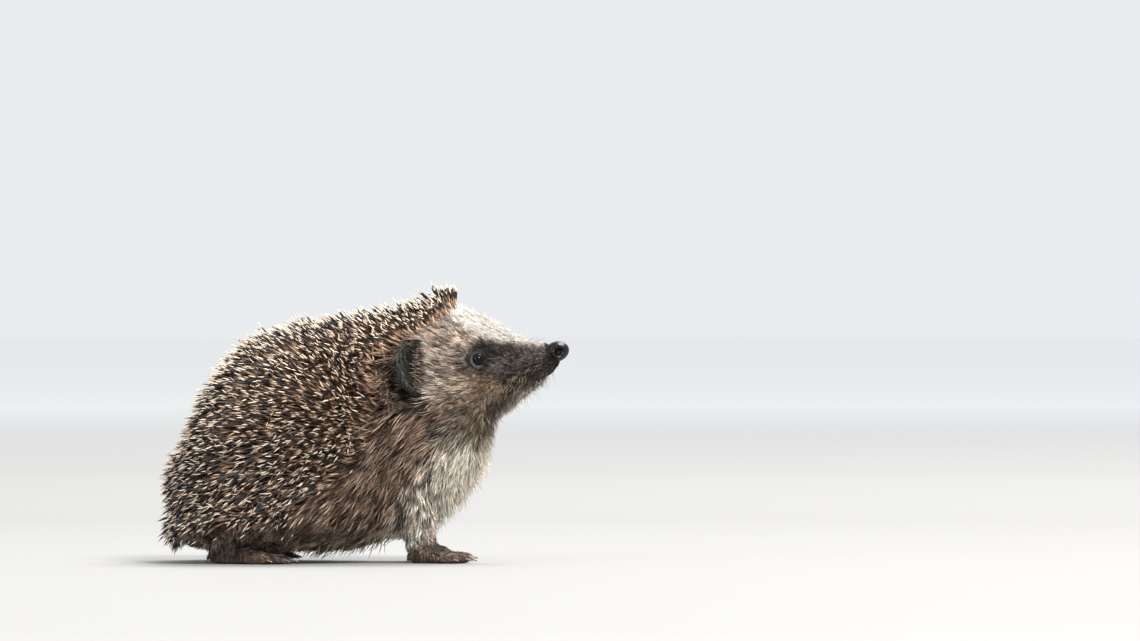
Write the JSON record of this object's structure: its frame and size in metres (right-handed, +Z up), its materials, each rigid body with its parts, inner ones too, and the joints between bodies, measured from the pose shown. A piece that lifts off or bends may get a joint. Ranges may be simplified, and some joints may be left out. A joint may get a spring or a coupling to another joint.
{
  "type": "hedgehog model",
  "caption": "Life-size European hedgehog standing still with forebody raised and nose lifted, quilled back and furred face, on four flat soles.",
  "frame": {"origin": "middle of the bounding box, on the plane of the soles", "axes": "+X the way the nose points, +Y the left side, +Z up"},
  "size_m": [0.1922, 0.114, 0.1316],
  "materials": {
    "quilled_coat": "dense banded keratin quills, pale at base and tip, dark between",
    "coat_fur": "coarse brown to cream hair, matt",
    "face_fur": "short hair, white brow, dark mask and muzzle",
    "paw_skin": "thin dark skin with short hair, fine creases",
    "ear_skin": "dark thin skin with fine grey down",
    "nose_skin": "black moist skin, finely pebbled, glossy",
    "eye_ball": "near-black, wet, mirror-smooth",
    "claw_horn": "translucent brown horn, satin"
  },
  "bodies": {
    "root": {"claw_front_left_1": "claw_horn", "claw_front_left_2": "claw_horn", "claw_front_left_3": "claw_horn", "claw_front_left_4": "claw_horn", "claw_front_left_5": "claw_horn", "claw_front_right_1": "claw_horn", "claw_front_right_2": "claw_horn", "claw_front_right_3": "claw_horn", "claw_front_right_4": "claw_horn", "claw_front_right_5": "claw_horn", "claw_hind_left_1": "claw_horn", "claw_hind_left_2": "claw_horn", "claw_hind_left_3": "claw_horn", "claw_hind_left_4": "claw_horn", "claw_hind_left_5": "claw_horn", "claw_hind_right_1": "claw_horn", "claw_hind_right_2": "claw_horn", "claw_hind_right_3": "claw_horn", "claw_hind_right_4": "claw_horn", "claw_hind_right_5": "claw_horn", "ear_left": "ear_skin", "ear_right": "ear_skin", "eye_left": "eye_ball", "eye_right": "eye_ball", "foot_front_left": "paw_skin", "foot_front_right": "paw_skin", "foot_hind_left": "paw_skin", "foot_hind_right": "paw_skin", "head": "face_fur", "leg_front_left": "coat_fur", "leg_front_right": "coat_fur", "leg_hind_left": "quilled_coat", "leg_hind_right": "quilled_coat", "lower_jaw": "face_fur", "neck": "coat_fur", "nose": "nose_skin", "tail": "coat_fur", "trunk": "quilled_coat"}
  },
  "joints": []
}
